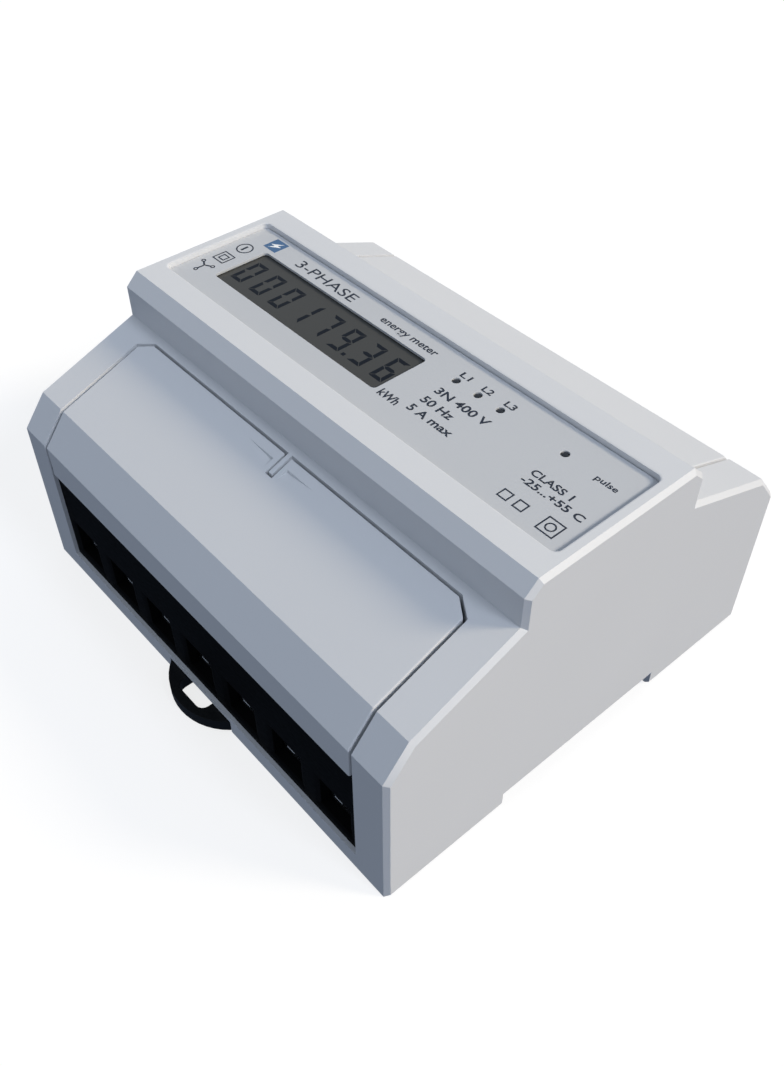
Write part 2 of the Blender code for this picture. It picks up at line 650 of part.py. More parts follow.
def build_base_plate():
    """The back plate: rail channel, fixed hooks, latch tunnel and board pillars."""
    half_x, half_y = BASE_HALF
    wall_y = CHANNEL_HALF + WALL
    half = [
        (CHANNEL_HALF, CHANNEL_FLOOR),
        (CHANNEL_HALF, BASE_LOW),
        (half_y, BASE_LOW),
        (half_y, BASE_TOP),
        (wall_y, BASE_TOP),
        (wall_y, CHANNEL_FLOOR + WALL),
    ]
    bm = bmesh.new()
    add_outline(bm, [half + [(-y, z) for y, z in reversed(half)]], -half_x, half_x, "X")
    base = part("base_plate", bm, LIGHT_GREY)

    lip_top = CHANNEL_FLOOR - RAIL_THICK - RAIL_PLAY
    hook = [
        (CHANNEL_HALF + INTO, CHANNEL_FLOOR + INTO),
        (RAIL_HALF + GAP, CHANNEL_FLOOR + INTO),
        (RAIL_HALF + GAP, lip_top),
        (HOOK_REACH, lip_top),
        (HOOK_REACH, lip_top - HOOK_NOSE),
        (RAIL_HALF, BASE_LOW),
        (CHANNEL_HALF + INTO, BASE_LOW),
    ]
    bm = bmesh.new()
    for middle in (-HOOK_X, HOOK_X):
        add_outline(bm, [hook], middle - HOOK_HALF, middle + HOOK_HALF, "X")
    join(base, "rail_hooks", bm)

    bm = bmesh.new()
    add_box(bm, (LATCH_X - TUNNEL_HALF, -half_y, INTO), (LATCH_X + TUNNEL_HALF, -CHANNEL_HALF - INTO, TUNNEL_TOP))
    join(base, "latch_tunnel", bm)
    roof = LATCH_TOP + GAP
    bm = bmesh.new()
    side = LATCH_HALF + GAP
    outside, inside = -half_y - PAST, -CHANNEL_HALF + INTO
    add_box(bm, (LATCH_X - side, outside, -PAST), (LATCH_X + side, inside, roof))
    cut(base, "latch_way", bm)
    way = [
        (outside, -PAST),
        (-LOOP_INNER + GAP, -PAST),
        (-LOOP_INNER + GAP, FLANGE_LOW - GAP),
        (-FLANGE_START + GAP, FLANGE_LOW - GAP),
        (-FLANGE_START + GAP, roof),
        (outside, roof),
    ]
    wide = LATCH_FLANGE + GAP
    bm = bmesh.new()
    add_outline(bm, [way], LATCH_X - wide, LATCH_X + wide, "X")
    cut(base, "flange_ways", bm)
    bm = bmesh.new()
    add_box(bm, (LATCH_X - POST_HALF, -POST_ENDS[0], POST_LOW), (LATCH_X + POST_HALF, -POST_ENDS[1], roof + INTO))
    join(base, "spring_post", bm)

    bm = bmesh.new()
    for x in (-BOARD_PILLAR_XY[0], BOARD_PILLAR_XY[0]):
        for y in (-BOARD_PILLAR_XY[1], BOARD_PILLAR_XY[1]):
            add_rod(bm, (x, y), BOARD_PILLAR_RADIUS, BASE_TOP - INTO, MAIN_BOARD_LOW - GAP, segments=16)
    join(base, "board_pillars", bm)
    bm = bmesh.new()
    for x in (-BASE_SCREW_XY[0], BASE_SCREW_XY[0]):
        for y in (-BASE_SCREW_XY[1], BASE_SCREW_XY[1]):
            add_rod(bm, (x, y), BASE_SCREW_HOLE, -INTO, BASE_TOP + INTO, segments=16)
    cut(base, "screw_holes", bm)


def build_latch():
    """The sliding foot with its pull loop, a nose under the rail and a pocket for the spring."""
    hole_half, hole_outer, hole_inner = LOOP_HOLE
    reach = LOOP_TIP - HALF_HEIGHT
    radius = (LATCH_FLANGE**2 + reach**2) / (2 * reach)
    centre_y = -LOOP_TIP + radius
    half_angle = math.asin(LATCH_FLANGE / radius)
    steps = 14
    arc = [
        (
            LATCH_X + radius * math.sin(half_angle * (2 * step / steps - 1)),
            centre_y - radius * math.cos(half_angle * (2 * step / steps - 1)),
        )
        for step in range(steps + 1)
    ]
    outline = arc + [
        (LATCH_X + LATCH_FLANGE, -LOOP_INNER),
        (LATCH_X + LATCH_HALF, -LOOP_INNER),
        (LATCH_X + LATCH_HALF, -LATCH_NOSE),
        (LATCH_X - LATCH_HALF, -LATCH_NOSE),
        (LATCH_X - LATCH_HALF, -LOOP_INNER),
        (LATCH_X - LATCH_FLANGE, -LOOP_INNER),
    ]
    loop_hole = rounded_box((LATCH_X - hole_half, -hole_outer), (LATCH_X + hole_half, -hole_inner), 1.8)
    pocket = rounded_box((LATCH_X - POCKET_HALF, -POCKET_ENDS[0]), (LATCH_X + POCKET_HALF, -POCKET_ENDS[1]), 0.2, 1)
    bm = bmesh.new()
    add_outline(bm, [outline, loop_hole, pocket], LATCH_LOW, LATCH_TOP)
    latch = part("rail_latch", bm, BLACK, origin=(LATCH_X, -LOOP_INNER, LATCH_LOW))

    bm = bmesh.new()
    for sign in (-1, 1):
        inner, outer = sorted((LATCH_X + sign * (LATCH_HALF - INTO), LATCH_X + sign * LATCH_FLANGE))
        add_box(bm, (inner, -LOOP_INNER - INTO, FLANGE_LOW), (outer, -FLANGE_START, LATCH_TOP))
    join(latch, "latch_flanges", bm)
    ramp = [
        (-LATCH_NOSE - RAMP_RUN, -INTO),
        (-LATCH_NOSE + INTO, -INTO),
        (-LATCH_NOSE + INTO, RAMP_TOP),
    ]
    side = LATCH_HALF + INTO
    bm = bmesh.new()
    add_outline(bm, [ramp], LATCH_X - side, LATCH_X + side, "X")
    cut(latch, "nose_ramp", bm)


def build_latch_spring():
    """A coil of round wire between the base plate's post and the latch."""
    ends = (-POST_ENDS[1] + GAP, -POCKET_ENDS[1] - GAP)
    height = (LATCH_LOW + LATCH_TOP) / 2
    points_per_turn = 10
    count = SPRING_TURNS * points_per_turn + 1
    curve = bpy.data.curves.new("latch_spring", "CURVE")
    curve.dimensions = "3D"
    curve.bevel_depth = SPRING_WIRE * MM
    curve.bevel_resolution = 2
    curve.use_fill_caps = True
    spline = curve.splines.new("POLY")
    spline.points.add(count - 1)
    for index, point in enumerate(spline.points):
        angle = math.tau * index / points_per_turn
        y = ends[0] + (ends[1] - ends[0]) * index / (count - 1)
        x = LATCH_X + SPRING_RADIUS * math.cos(angle)
        z = height + SPRING_RADIUS * math.sin(angle)
        point.co = (x * MM, y * MM, z * MM, 1)
    spring = bpy.data.objects.new("latch_spring", curve)
    curve.materials.append(STEEL)
    PARTS.objects.link(spring)


def box_part(name, low, high, finish):
    bm = bmesh.new()
    add_box(bm, low, high)
    part(name, bm, finish)


def build_main_board():
    half_x, half_y = MAIN_BOARD_HALF
    top = MAIN_BOARD_LOW + BOARD_THICK
    box_part("main_board", (-half_x, -half_y, MAIN_BOARD_LOW), (half_x, half_y, top), BOARD_GREEN)
    foot = top + GAP
    bore, radius, half = CT_SIZE
    ring = [(bore, half), (radius, half), (radius, -half), (bore, -half)]
    for number, place in enumerate(CT_XY, start=1):
        made = turned("current_transformer_" + str(number), ring, WINDING, (*place, 0), steps=24, closed=True)
        made.rotation_euler.x = math.pi / 2
        made.location.z = (foot + radius) * MM
    for name, ((x, y), (length, depth, height), finish) in BOARD_BLOCKS.items():
        box_part(name, (x, y, foot), (x + length, y + depth, foot + height), finish)
    place, radius, height, edge = CAN
    can = [
        (0, foot + height),
        (radius - edge, foot + height),
        (radius, foot + height - edge),
        (radius, foot + edge),
        (radius - edge, foot),
        (0, foot),
    ]
    turned("electrolytic_capacitor", can, CAN_BLUE, (*place, foot))
    box_part(
        "riser_board",
        (RISER_X, -RISER_HALF, foot),
        (RISER_X + RISER_THICK, RISER_HALF, DISPLAY_BOARD_LOW - GAP),
        BOARD_GREEN,
    )


def build_display():
    """The board behind the front, its LEDs and the glass in its holder."""
    half_x, half_y = DISPLAY_BOARD_HALF
    top = DISPLAY_BOARD_LOW + BOARD_THICK
    box_part("display_board", (-half_x, -half_y, DISPLAY_BOARD_LOW), (half_x, half_y, top), BOARD_GREEN)
    for name, (x, y) in zip(LED_NAMES, LED_XY):
        foot = top + GAP
        radius, collar, shoulder, dome_low = LED_BODY
        shoulder += foot
        dome_low += foot
        dome = [
            (radius * math.sin(angle), dome_low + radius * math.cos(angle))
            for angle in (math.pi / 2 * step / 5 for step in range(6))
        ]
        profile = dome + [(radius, shoulder), (collar, shoulder), (collar, foot), (0, foot)]
        finish = LED_RED if name == "pulse_led" else LED_CLEAR
        turned(name, profile, finish, (x, y, foot), steps=16)

    over_x, over_y = GLASS_OVER
    half_x = (WINDOW_HIGH[0] - WINDOW_LOW[0]) / 2 + over_x
    half_y = (WINDOW_HIGH[1] - WINDOW_LOW[1]) / 2 + over_y
    middle = [(low + high) / 2 for low, high in zip(WINDOW_LOW, WINDOW_HIGH)]
    glass_top = ROOF_UNDERSIDE - GAP
    glass_low = glass_top - GLASS_THICK

    def spread(low, high, extra):
        """Corners of a box around the glass, larger by extra on each side."""
        return [
            (middle[0] + sign * (half_x + extra), middle[1] + sign * (half_y + extra), z)
            for sign, z in ((-1, low), (1, high))
        ]

    box_part("lcd_panel", *spread(glass_low, glass_top, 0), LCD_GREY)
    bm = bmesh.new()
    add_box(bm, *spread(top + GAP, glass_top, GAP + HOLDER_WALL))
    holder = part("lcd_holder", bm, WHITE)
    bm = bmesh.new()
    add_box(bm, *spread(glass_low - GAP, glass_top + INTO, GAP))
    cut(holder, "glass_seat", bm)
    bm = bmesh.new()
    add_box(bm, *spread(top - INTO, glass_top, -HOLDER_LEDGE))
    cut(holder, "holder_middle", bm)


def build_base_screws():
    """Self-tapping screws from the back plate into the casing's pillars."""
    profile = [
        (0, BASE_SCREW_TIP),
        (BASE_SCREW_RADIUS, BASE_SCREW_TIP),
        (BASE_SCREW_RADIUS, BASE_SCREW_END),
        (0, BASE_SCREW_END),
    ]
    number = 0
    for x in (-BASE_SCREW_XY[0], BASE_SCREW_XY[0]):
        for y in (-BASE_SCREW_XY[1], BASE_SCREW_XY[1]):
            number += 1
            turned("base_screw_" + str(number), profile, STEEL, (x, y, BASE_SCREW_END), steps=12)


def side_empty(name, turn):
    """An empty that carries one side's pieces, built as the -Y side and turned about Z."""
    made = bpy.data.objects.new(name, None)
    made.rotation_euler.z = turn
    PARTS.objects.link(made)
    return made


for old in list(bpy.data.objects):
    bpy.data.objects.remove(old)

PARTS = collection("rail_energy_meter")
CUTTERS = collection("cutters")

LIGHT_GREY = material("light_grey_plastic", (0.60, 0.61, 0.63), 0.45)
LABEL_GREY = material("label_grey_film", (0.48, 0.50, 0.52), 0.55)
BLACK = material("black_plastic", (0.012, 0.012, 0.014), 0.5)
CLEAR = material("clear_pane", (0.35, 0.36, 0.36), 0.1)
STEEL = material("nickelled_steel", (0.55, 0.57, 0.60), 0.3, 1.0)
BOARD_GREEN = material("board_green", (0.02, 0.12, 0.05), 0.5)
WINDING = material("winding_tape", (0.30, 0.22, 0.05), 0.6)
CAPACITOR_YELLOW = material("capacitor_yellow", (0.55, 0.36, 0.03), 0.5)
CAN_BLUE = material("can_sleeve", (0.02, 0.03, 0.10), 0.4)
CHIP_BLACK = material("chip_black", (0.015, 0.015, 0.015), 0.6)
LED_CLEAR = material("led_green", (0.05, 0.30, 0.08), 0.2)
LED_RED = material("led_red", (0.35, 0.02, 0.02), 0.2)
LCD_GREY = material("lcd_grey", (0.06, 0.06, 0.058), 0.25)
WHITE = material("white_plastic", (0.75, 0.75, 0.73), 0.5)

# Rectangular components on the main board: corner, size and finish
BOARD_BLOCKS = {
    "supply_capacitor": ((-44.0, 8.0), (26.0, 10.0, 16.0), CAPACITOR_YELLOW),
    "metering_chip": ((12.0, 4.0), (10.0, 10.0, 1.4), CHIP_BLACK),
    "pulse_optocoupler": ((46.0, 20.0), (6.5, 4.6, 3.6), CHIP_BLACK),
}

FRONT = side_empty("front_side", 0.0)
REAR = side_empty("rear_side", math.pi)

build_casing(FRONT, REAR)
build_base_plate()
build_latch()
build_latch_spring()
build_label_plate()
build_window()
build_main_board()
build_display()
build_base_screws()
for each_side in (FRONT, REAR):
    build_cover(each_side)
    build_terminal_block(each_side)
    for terminal in range(1, TERMINALS + 1):
        build_clamp(each_side, terminal)
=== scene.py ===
"""The looks of a seven-module electric meter for a 35 mm rail: its finishes, prints and small parts.

Laid out as a Blender add-on and run as a script. Lengths are in metres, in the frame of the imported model:
X runs along the rail, Y across it with the latch at -Y, and Z out of the panel.
"""

import math

import bmesh
import bpy
from bpy.props import FloatProperty, FloatVectorProperty, PointerProperty, StringProperty
from mathutils import Euler, Matrix, Vector


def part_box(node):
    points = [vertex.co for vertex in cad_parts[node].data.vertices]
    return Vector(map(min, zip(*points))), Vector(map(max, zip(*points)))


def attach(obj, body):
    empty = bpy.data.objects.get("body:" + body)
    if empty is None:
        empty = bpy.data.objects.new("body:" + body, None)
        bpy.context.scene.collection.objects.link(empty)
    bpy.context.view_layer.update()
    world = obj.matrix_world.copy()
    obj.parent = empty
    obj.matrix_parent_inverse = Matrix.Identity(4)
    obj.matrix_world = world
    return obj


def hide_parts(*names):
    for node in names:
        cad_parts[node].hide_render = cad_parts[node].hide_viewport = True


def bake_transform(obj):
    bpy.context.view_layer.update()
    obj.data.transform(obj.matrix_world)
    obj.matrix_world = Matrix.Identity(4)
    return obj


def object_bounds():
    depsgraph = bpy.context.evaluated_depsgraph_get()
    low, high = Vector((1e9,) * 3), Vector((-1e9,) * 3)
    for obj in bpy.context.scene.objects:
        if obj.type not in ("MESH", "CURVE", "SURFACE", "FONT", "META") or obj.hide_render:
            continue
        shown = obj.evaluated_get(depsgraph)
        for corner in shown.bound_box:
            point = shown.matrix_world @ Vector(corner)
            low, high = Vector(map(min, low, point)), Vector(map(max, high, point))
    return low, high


bl_info = {
    "name": "Rail-mounted electric meter",
    "version": (1, 0, 0),
    "blender": (4, 5, 0),
    "location": "View3D > Sidebar > Meter",
    "description": "Finishes, prints and small parts of a seven-module electric meter",
    "category": "Object",
}

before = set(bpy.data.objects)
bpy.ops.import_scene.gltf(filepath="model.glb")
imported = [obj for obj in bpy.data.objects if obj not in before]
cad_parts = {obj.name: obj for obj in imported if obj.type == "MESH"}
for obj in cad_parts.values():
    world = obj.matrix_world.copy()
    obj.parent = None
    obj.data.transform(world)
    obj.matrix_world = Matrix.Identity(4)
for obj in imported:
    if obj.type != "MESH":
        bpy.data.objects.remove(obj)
CAD_BOX = [list(corner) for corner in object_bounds()]
MM = 0.001
SIDES = ("front", "rear")
TERMINALS = 7
TERMINAL_PITCH = 15 * MM

LABEL_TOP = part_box("front_label_plate")[1].z
PANE_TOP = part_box("display_window")[1].z
SUNK = 0.005 * MM                      # how far a print sits in what it is printed on

BAY_HALF = 52.1 * MM                   # half the length of a terminal bay
BAY_INNER, BAY_TOP = 24 * MM, 56 * MM  # a bay ends short of these, by the raised front
WALL = 53.2 * MM                       # from the middle of the casing to its long outer walls
SILL_TOP = 4.8 * MM                    # height of the sill under the cable entries
COVER_LIP = 31 * MM                    # just above the lower lips of the covers
NEAR = 0.1 * MM                        # how close a corner is to the place it is looked for at


# ---------------------------------------------------------------- materials

def linear(code):
    """The linear colour of an sRGB hex code such as C7C7C7."""
    channels = [int(code[at:at + 2], 16) / 255 for at in (0, 2, 4)]
    return [c / 12.92 if c <= 0.04045 else ((c + 0.055) / 1.055) ** 2.4 for c in channels]


def add_node(tree, kind, sockets=None, **settings):
    """Adds a node of one kind, sets it up, and gives each named socket a value or a link."""
    node = tree.nodes.new("ShaderNode" + kind)
    for name, value in settings.items():
        setattr(node, name, value)
    for name, value in (sockets or {}).items():
        if isinstance(value, bpy.types.NodeSocket):
            tree.links.new(value, node.inputs[name])
        else:
            node.inputs[name].default_value = value
    return node


def noise(tree, size, detail=2.0, stretch=(1, 1, 1)):
    """A pattern of soft spots, each about size across on the piece, drawn out along an axis by stretch."""
    place = add_node(tree, "TexCoord").outputs["Object"]
    scaled = add_node(tree, "Mapping", {"Vector": place, "Scale": [1 / part for part in stretch]}).outputs[0]
    return add_node(tree, "TexNoise", {"Vector": scaled, "Scale": 1 / size, "Detail": detail}).outputs["Fac"]


def between(tree, pattern, low, high):
    """A pattern's middle range spread from low to high."""
    spread = {"Value": pattern, "From Min": 0.3, "From Max": 0.7, "To Min": low, "To Max": high}
    return add_node(tree, "MapRange", spread).outputs[0]


def blended(tree, pattern, colour_a, colour_b):
    """A colour that goes from one to another as the pattern goes from 0 to 1."""
    sockets = {"Factor": pattern, "A": (*colour_a, 1), "B": (*colour_b, 1)}
    node = add_node(tree, "Mix", data_type="RGBA")
    for socket in node.inputs:
        if socket.name == "Factor" and socket.type == "VALUE":
            tree.links.new(sockets["Factor"], socket)
        if socket.name in ("A", "B") and socket.type == "RGBA":
            socket.default_value = sockets[socket.name]
    return next(socket for socket in node.outputs if socket.type == "RGBA")


def shades(colour, spread):
    """A slightly darker and a slightly lighter shade of one colour."""
    darker = [channel * (1 - spread) for channel in colour]
    lighter = [min(1, channel * (1 + spread)) for channel in colour]
    return darker, lighter


def new_material(name, **sockets):
    """A material with a node tree, its shader's fixed values set on the shader's own sockets."""
    material = bpy.data.materials.new(name)
    material.use_nodes = True
    shader = material.node_tree.nodes["Principled BSDF"]
    for socket, value in sockets.items():
        shader.inputs[socket.replace("_", " ")].default_value = value
    return material, material.node_tree, shader


def surface(tree, shader, colour=None, roughness=None, height=None, strength=0.1, depth=0.01 * MM):
    """Links a material's patterns to its shader: colour, roughness and the height of its texture."""
    if colour is not None:
        tree.links.new(colour, shader.inputs["Base Color"])
    if roughness is not None:
        tree.links.new(roughness, shader.inputs["Roughness"])
    if height is not None:
        bump = add_node(tree, "Bump", {"Height": height, "Strength": strength, "Distance": depth})
        tree.links.new(bump.outputs[0], shader.inputs["Normal"])


def moulded_polycarbonate(settings):
    """Light grey polycarbonate, moulded in a spark-eroded tool: an even satin skin with a fine pebble."""
    material, tree, shader = new_material(
        "moulded_polycarbonate_light_grey", IOR=1.58, Specular_IOR_Level=settings.sheen,
    )
    flow = noise(tree, 30 * MM, 1.0)
    # Spark erosion leaves pits of about 0.05 mm, drawn at 0.5 mm so that they show
    grain = noise(tree, 0.5 * MM, 3.0)
    colour = blended(tree, flow, *shades(settings.colour, 0.012))
    surface(tree, shader, colour, between(tree, grain, 0.5, 0.58), grain, settings.grain_strength)
    return material


def black_polyamide(name, code, sheen, low, high):
    """Glass-filled polyamide: near black, with a matt skin broken by short fibres."""
    material, tree, shader = new_material(name, IOR=1.53, Specular_IOR_Level=sheen)
    # Fibres are 0.3 mm long and lie along the flow, which is along the rail
    fibres = noise(tree, 0.3 * MM, 2.0, (4, 1, 1))
    colour = blended(tree, fibres, *shades(linear(code), 0.25))
    surface(tree, shader, colour, between(tree, fibres, low, high), fibres, 0.12)
    return material


def plated_steel(name, code, stretch, low, high):
    """Plated metal: bright, with the fine lines of the rolling, drawing or turning under its plating."""
    material, tree, shader = new_material(name, Metallic=1.0)
    lines = noise(tree, 0.12 * MM, 3.0, stretch)
    colour = blended(tree, lines, *shades(linear(code), 0.04))
    surface(tree, shader, colour, between(tree, lines, low, high), lines, 0.05, 0.004 * MM)
    return material


def printed_film(settings):
    """Grey polyester label film: a satin top coat over a printed ground, with a trace of orange peel."""
    material, tree, shader = new_material("polyester_label_film", IOR=1.6, Specular_IOR_Level=0.35)
    peel = noise(tree, 1.2 * MM, 2.0)
    ground = noise(tree, 25 * MM, 1.0)
    colour = blended(tree, ground, *shades(settings.ground_colour, 0.012))
    surface(tree, shader, colour, between(tree, peel, 0.42, 0.5), peel, 0.05)
    return material


def screen_ink(name, colour):
    """Screen-printed ink: a thin matt layer whose mesh leaves a faint dot in its surface."""
    material, tree, shader = new_material(name, IOR=1.5, Specular_IOR_Level=0.3)
    dots = noise(tree, 0.25 * MM, 1.0)
    colour = blended(tree, dots, *shades(colour, 0.05))
    surface(tree, shader, colour, between(tree, dots, 0.5, 0.6), dots, 0.05)
    return material


def polariser(name, colour, sheen, low, high):
    """Polarising film over the liquid crystal: dark, smooth, with a faint streak along the film."""
    material, tree, shader = new_material(name, IOR=1.49, Specular_IOR_Level=sheen)
    streaks = noise(tree, 3 * MM, 2.0, (6, 1, 1))
    colour = blended(tree, streaks, *shades(colour, 0.03))
    surface(tree, shader, colour, between(tree, streaks, low, high))
    return material


def plain_moulding(name, code, size, low, high, **sockets):
    """A small moulded or coated part, with the unevenness of its own skin at one grain size."""
    material, tree, shader = new_material(name, **sockets)
    grain = noise(tree, size, 2.0)
    colour = blended(tree, grain, *shades(linear(code), 0.06))
    surface(tree, shader, colour, between(tree, grain, low, high), grain, 0.1)
    return material


def wound_tape():
    """Yellow polyester tape wound round a current transformer, its tone changing slowly along the turns."""
    material, tree, shader = new_material("wound_polyester_tape", IOR=1.6)
    place = add_node(tree, "TexCoord").outputs["Object"]
    # A wave goes round once in tau / 20 of its scaled length, which is 31 mm here
    wave = add_node(tree, "TexWave", {"Vector": place, "Scale": 1 / (5 * MM) / 20, "Distortion": 0.6})
    turns = wave.outputs["Fac"]
    colour = blended(tree, turns, linear("A88A2C"), linear("D9BC4A"))
    surface(tree, shader, colour, between(tree, turns, 0.25, 0.4), turns, 0.2)
    return material


def solder_mask():
    """Green solder mask over copper: a glossy coat with the tracks showing lighter beneath it."""
    material, tree, shader = new_material("solder_mask_on_laminate", IOR=1.5, Roughness=0.3)
    place = add_node(tree, "TexCoord").outputs["Object"]
    # Tracks run 1.3 mm apart
    tracks = add_node(tree, "TexBrick", {"Vector": place, "Scale": 1 / (1.3 * MM) / 4, "Mortar Size": 0.03})
    colour = blended(tree, tracks.outputs["Fac"], linear("0F4A2A"), linear("1F6B40"))
    surface(tree, shader, colour, None, tracks.outputs["Fac"], 0.15)
    return material


# ------------------------------------------------------------ making pieces

def merged_copy(node):
    """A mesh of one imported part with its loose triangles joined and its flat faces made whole."""
    bm = bmesh.new()
    bm.from_mesh(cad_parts[node].data)
    same_place, flat = 0.002 * MM, math.radians(0.6)
    bmesh.ops.remove_doubles(bm, verts=bm.verts, dist=same_place)
    bmesh.ops.dissolve_limit(bm, angle_limit=flat, verts=bm.verts, edges=bm.edges)
    return bm


def soften(bm, edges, radius, segments=2):
    """Rounds these edges."""
    bmesh.ops.bevel(
        bm, geom=edges, offset=radius, offset_type="OFFSET", segments=segments, profile=0.5,
        affect="EDGES", clamp_overlap=True, material=-1,
    )


def sharp_edges(bm, least=25):
    """The edges where two faces meet at more than least degrees."""
    least = math.radians(least)
    return [edge for edge in bm.edges if edge.is_manifold and edge.calc_face_angle(0) > least]


def keep_crisp(bm):
    """Leaves the corners between two flats of a 45 degree chamfer round the ends unsmoothed."""
    slope, close, shallow = math.sqrt(0.5), 0.02, 12
    bm.normal_update()
    for edge in sharp_edges(bm, shallow):
        if all(abs(abs(face.normal.x) - slope) < close for face in edge.link_faces):
            edge.smooth = False


def add_piece(name, bm, material, body=None, smooth=True):
    """Turns a mesh into a finished piece that rides on a body, where one is named."""
    mesh = bpy.data.meshes.new(name)
    bm.to_mesh(mesh)
    bm.free()
    mesh.materials.append(material)
    piece = bpy.data.objects.new(name, mesh)
    bpy.context.scene.collection.objects.link(piece)
    if smooth:
        mesh.polygons.foreach_set("use_smooth", [True] * len(mesh.polygons))
        weighted = piece.modifiers.new("flat_faces", "WEIGHTED_NORMAL")
        weighted.weight = 100
        weighted.keep_sharp = True
    if body:
        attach(piece, body)
    return piece


def refine(node, name, body, material, radius, bm=None):
    """Stands a rounded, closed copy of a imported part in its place."""
    bm = bm or merged_copy(node)
    soften(bm, sharp_edges(bm), radius)
    keep_crisp(bm)
    piece = add_piece(name, bm, material, body)
    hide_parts(node)
    return piece


def finish_node(node, material):
    """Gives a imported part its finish."""
    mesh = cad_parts[node].data
    mesh.materials.clear()
    mesh.materials.append(material)


def raised(bm, outline, low, high):
    """A flat shape with this outline, standing from low to high."""
    corners = [bm.verts.new((x, y, low)) for x, y in outline]
    face = bm.faces.new(corners)
    face.normal_update()
    if face.normal.z > 0:
        face.normal_flip()
    grown = bmesh.ops.extrude_face_region(bm, geom=[face], use_keep_orig=True)["geom"]
    top = [item for item in grown if isinstance(item, bmesh.types.BMVert)]
    bmesh.ops.translate(bm, verts=top, vec=(0, 0, high - low))
    for item in grown:
        if isinstance(item, bmesh.types.BMFace):
            item.normal_update()
            if item.normal.z < 0:
                item.normal_flip()


def ring(bm, centre, radius, width, low, high, steps=40):
    """A flat ring standing from low to high: a small cross-section spun once round."""
    x, y = centre
    inner = radius - width
    section = [(inner, low), (radius, low), (radius, high), (inner, high)]
    corners = [bm.verts.new((x + along, y, z)) for along, z in section]
    edges = [bm.edges.new((corners[at - 1], corners[at])) for at in range(len(corners))]
    bmesh.ops.spin(
        bm, geom=corners + edges, cent=(x, y, 0), axis=(0, 0, 1), angle=math.tau, steps=steps, use_merge=True,
    )


def lettering(bm, words, left, middle, width, height, low, high, weight=0.0):
    """Raises generic words such as units and numbers, fitted to a width and a capital height."""
    curve = bpy.data.curves.new("words", "FONT")
    curve.body = words
    curve.extrude = 0.01
    curve.offset = weight
    curve.resolution_u = 4
    made = bpy.data.objects.new("words", curve)
    bpy.context.scene.collection.objects.link(made)
    bpy.context.view_layer.update()
    mesh = bpy.data.meshes.new_from_object(made.evaluated_get(bpy.context.evaluated_depsgraph_get()))
    bpy.data.objects.remove(made)
    bpy.data.curves.remove(curve)
    words_bm = bmesh.new()
    words_bm.from_mesh(mesh)
    bpy.data.meshes.remove(mesh)
    bmesh.ops.remove_doubles(words_bm, verts=words_bm.verts, dist=1e-5)
    across = [vert.co.x for vert in words_bm.verts]
    capital = 0.7
    fit_x = width / (max(across) - min(across))
    fit_y = height / capital
    for vert in words_bm.verts:
        x, y, z = vert.co
        vert.co = (left + (x - min(across)) * fit_x, middle + y * fit_y - height / 2, high if z > 0 else low)
    bmesh.ops.recalc_face_normals(words_bm, faces=words_bm.faces)
    words_mesh = bpy.data.meshes.new("words")
    words_bm.to_mesh(words_mesh)
    words_bm.free()
    bm.from_mesh(words_mesh)
    bpy.data.meshes.remove(words_mesh)


# --------------------------------------------------------------- properties

class CasingSettings(bpy.types.PropertyGroup):
    """The grey mouldings."""

    colour: FloatVectorProperty(
        name="Colour", description="Colour of the grey mouldings", subtype="COLOR", size=3, min=0, max=1,
        default=linear("D9DADC"),
    )
    sheen: FloatProperty(
        name="Sheen", description="Strength of the satin shine", subtype="FACTOR", min=0, max=1, default=0.35,
    )
    grain_strength: FloatProperty(
        name="Grain", description="Strength of the tool's fine pebble", subtype="FACTOR", min=0, max=1,
        default=0.12,
    )
    edge_radius: FloatProperty(
        name="Edge radius", description="Rounding of every moulded edge", subtype="DISTANCE", unit="LENGTH",
        precision=5, default=0.1 * MM,
    )
    cover_radius: FloatProperty(
        name="Cover radius", description="Rounding of the terminal covers' edges", subtype="DISTANCE",
        unit="LENGTH", precision=5, default=0.07 * MM,
    )
    sill_radius: FloatProperty(
        name="Sill radius", description="Rounding of the sills under the cable entries", subtype="DISTANCE",
        unit="LENGTH", precision=5, default=0.8 * MM,
    )
    bay_radius: FloatProperty(
        name="Bay radius", description="Rounding of the edges round the terminal covers", subtype="DISTANCE",
        unit="LENGTH", precision=5, default=0.45 * MM,
    )


class LabelSettings(bpy.types.PropertyGroup):
    """The label on the raised front."""

    ground_colour: FloatVectorProperty(
        name="Ground", description="Colour of the label film", subtype="COLOR", size=3, min=0, max=1,
        default=linear("C3C5C8"),
    )
    print_colour: FloatVectorProperty(
        name="Print", description="Colour of the printed marks", subtype="COLOR", size=3, min=0, max=1,
        default=linear("2E3440"),
    )
    patch_colour: FloatVectorProperty(
        name="Patch", description="Colour of the patch in the corner", subtype="COLOR", size=3, min=0, max=1,
        default=linear("4F6F94"),
    )
    print_height: FloatProperty(
        name="Print height", description="Thickness of the ink", subtype="DISTANCE", unit="LENGTH",
        precision=6, default=0.03 * MM,
    )


